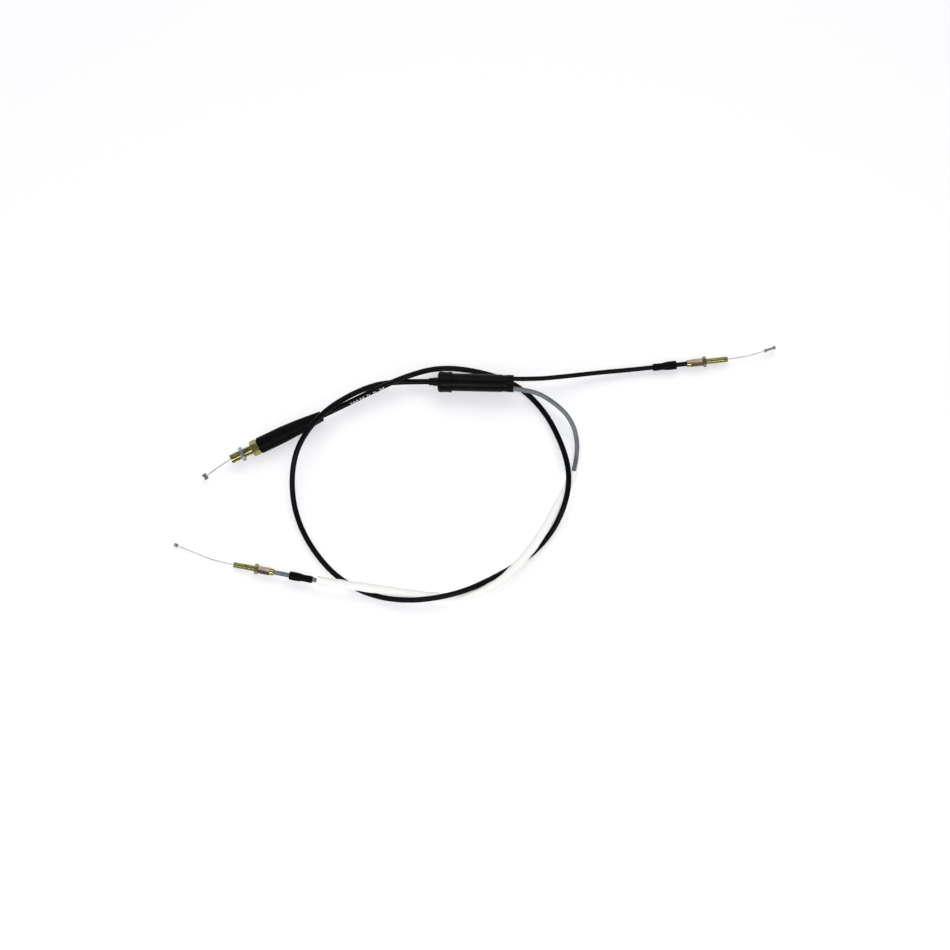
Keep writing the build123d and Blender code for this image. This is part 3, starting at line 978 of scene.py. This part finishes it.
def slack(distance, turned_by):
    """Smooth wander between about -1 and 1 along the sleeve."""
    return sum(
        share * math.sin(TURN * distance / length + start + turned_by) for length, start, share in waves
    ) / sum(share for _, _, share in waves)


# weave height at each outer point, kept to paint shade into the hollows between yarns
weave_shade_values = []


def sleeve_wall(inner):
    """Offsets of the outer, woven surface or of the smooth inner one."""

    def offset(i, angle):
        distance = i * SLEEVE_STEP
        left_over = min(distance, (len(sleeve_line) - 1 - i) * SLEEVE_STEP)
        flare = 0.0004 * math.exp(-left_over / 0.003)
        width = SLEEVE_HALF_WIDTH * (1 + 0.05 * slack(distance, 0.0)) + flare
        height = SLEEVE_HALF_HEIGHT * (1 - 0.04 * slack(distance, 0.0)) + flare
        drift = 0.00035 * slack(distance, 2.1)
        around = angle * YARNS / TURN
        weave = math.cos(TURN * (around + distance / YARN_PITCH)) * math.cos(
            TURN * (around - distance / YARN_PITCH)
        )
        pucker = 0.00008 * math.sin(3 * angle + 5 * slack(distance, 0.7))
        reach = -SLEEVE_WALL if inner else RELIEF * (weave - 1) + pucker
        if not inner:
            weave_shade_values.append(0.5 + 0.5 * weave)
        return drift + (width + reach) * math.cos(angle), (height + reach) * math.sin(angle)

    return offset


outside, outside_faces = swept(
    sleeve_line, sleeve_frames, sleeve_wall(False), SLEEVE_SEGMENTS, capped=False
)
inside, inside_faces = swept(
    sleeve_line, sleeve_frames, sleeve_wall(True), SLEEVE_SEGMENTS, capped=False
)
shift = len(outside)
sleeve_faces = outside_faces + [tuple(shift + v for v in reversed(face)) for face in inside_faces]
for ring in (0, (len(sleeve_line) - 1) * SLEEVE_SEGMENTS):
    for k in range(SLEEVE_SEGMENTS):
        n = (k + 1) % SLEEVE_SEGMENTS
        sleeve_faces.append((ring + k, ring + n, shift + ring + n, shift + ring + k))
fray = random.Random(11)
for ring, sign in ((0, -1), ((len(sleeve_line) - 1) * SLEEVE_SEGMENTS, 1)):
    run = sleeve_line[-1] - sleeve_line[-2] if ring else sleeve_line[1] - sleeve_line[0]
    for k in range(SLEEVE_SEGMENTS):
        move = run.normalized() * sign * fray.uniform(0.0, 0.0006)
        outside[ring + k] += move
        inside[ring + k] += move
heat_sleeve = finished(
    "b_braided_sleeve", outside + inside, sleeve_faces, "cable", "white_sleeve", "white_sleeve", 80.0
)
# weave height drives painted shade; the inner wall gets 0.0, the darkest painted shade
weave_shade = heat_sleeve.data.attributes.new("weave_shade", "FLOAT", "POINT")
weave_shade.data.foreach_set("value", weave_shade_values + [0.0] * len(inside))
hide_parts("b_heat_sleeve")

# ---------------------------------------------------------------- white marks on the main conduit

MARK_GROUPS_MM = [(143.0, 5), (154.5, 3), (163.0, 2), (170.5, 2), (178.0, 3)]
MARK_PITCH_MM = 1.9
MARK_LENGTH_MM = 0.95
MARK_FROM, MARK_TO = math.radians(24), math.radians(70)
SHORTER = math.radians(12)
MARK_STEPS = 6
MARK_SUNK, MARK_PROUD = 0.00004, 0.00003

main_centre = centreline(main_points)
run_up = [0.0]
for before, after in zip(main_centre, main_centre[1:]):
    run_up.append(run_up[-1] + (after - before).length)


def place_on_main(distance):
    """Point and (side, up) on the main conduit at a distance along it."""
    i = max(k for k, length in enumerate(run_up) if length <= distance)
    point = main_centre[i].lerp(
        main_centre[i + 1], (distance - run_up[i]) / (run_up[i + 1] - run_up[i])
    )
    run = (main_centre[i + 1] - main_centre[i]).normalized()
    side = Vector((0, 0, 1)).cross(run).normalized()
    return point, -side, run.cross(side)


mark_vertices, mark_faces = [], []
for group, count in MARK_GROUPS_MM:
    for bar in range(count):
        start = (group - LEVER_SEAT_MM + bar * MARK_PITCH_MM) * MM
        top = MARK_TO if bar % 2 == 0 else MARK_TO - SHORTER
        base = len(mark_vertices)
        for along in (start, start + MARK_LENGTH_MM * MM):
            point, right, up = place_on_main(along)
            for reach in (MAIN_R - MARK_SUNK, MAIN_R + MARK_PROUD):
                for k in range(MARK_STEPS + 1):
                    angle = MARK_FROM + (top - MARK_FROM) * k / MARK_STEPS
                    outwards = right * math.cos(angle) + up * math.sin(angle)
                    mark_vertices.append(point + outwards * reach)
        row = MARK_STEPS + 1
        far = 2 * row
        for k in range(MARK_STEPS):
            low, high = base + k, base + row + k
            mark_faces += [
                (high, high + 1, high + far + 1, high + far),
                (low, low + far, low + far + 1, low + 1),
                (low, low + 1, high + 1, high),
                (low + far, high + far, high + far + 1, low + far + 1),
            ]
        for k in (0, MARK_STEPS):
            low, high = base + k, base + row + k
            mark_faces.append((low, high, high + far, low + far))
marks = finished("conduit_white_marks", mark_vertices, mark_faces, "cable", "white_ink", None)

# ---------------------------------------------------------------- carried-over CAD nodes

slots = {part["node"]: part["material_slot"] for part in frame["record"]["subparts"]}
for name, node in frame["nodes"].items():
    node.data.materials.clear()
    node.data.materials.append(materials[slots[name]])

# ---------------------------------------------------------------- floor, light and world

floor_mesh = bpy.data.meshes.new("floor")
FLOOR_HALF = 4.0
floor_mesh.from_pydata(
    [
        (-FLOOR_HALF, -FLOOR_HALF, 0),
        (FLOOR_HALF, -FLOOR_HALF, 0),
        (FLOOR_HALF, FLOOR_HALF, 0),
        (-FLOOR_HALF, FLOOR_HALF, 0),
    ],
    [],
    [(0, 1, 2, 3)],
)
floor_material, _ = blank_material(
    "pale_floor", {"Base Color": (0.93, 0.93, 0.935, 1.0), "Roughness": 0.9}
)
floor_mesh.materials.append(floor_material)
floor = bpy.data.objects.new("floor", floor_mesh)
bpy.context.scene.collection.objects.link(floor)
floor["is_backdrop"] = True


def softbox(name, place, size, power, colour=(1.0, 1.0, 1.0), casts_shadow=True):
    """Rectangular light aimed at the middle of the floor."""
    data = bpy.data.lights.new(name, "AREA")
    data.shape = "RECTANGLE"
    data.size, data.size_y = size
    data.energy = power
    data.color = colour
    data.use_shadow = casts_shadow
    light = bpy.data.objects.new(name, data)
    light.location = place
    light.rotation_euler = (-Vector(place)).to_track_quat("-Z", "Y").to_euler()
    bpy.context.scene.collection.objects.link(light)


softbox("back", (0.3, 2.7, 2.1), (3.8, 2.0), 52.0, (1.0, 0.985, 0.96))
softbox("front", (0.0, -1.5, 2.25), (2.8, 0.75), 58.0, casts_shadow=False)
softbox("left", (-2.6, -0.4, 1.6), (0.8, 1.6), 5.0, (0.96, 0.97, 1.0))

world = bpy.data.worlds.new("studio")
world.use_nodes = True
world.node_tree.nodes["Background"].inputs["Color"].default_value = (0.93, 0.94, 1.0, 1.0)
world.node_tree.nodes["Background"].inputs["Strength"].default_value = 0.36
bpy.context.scene.world = world
bpy.context.scene.view_settings.view_transform = "Standard"

# ---------------------------------------------------------------- bounds of the shown pieces

low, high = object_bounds()
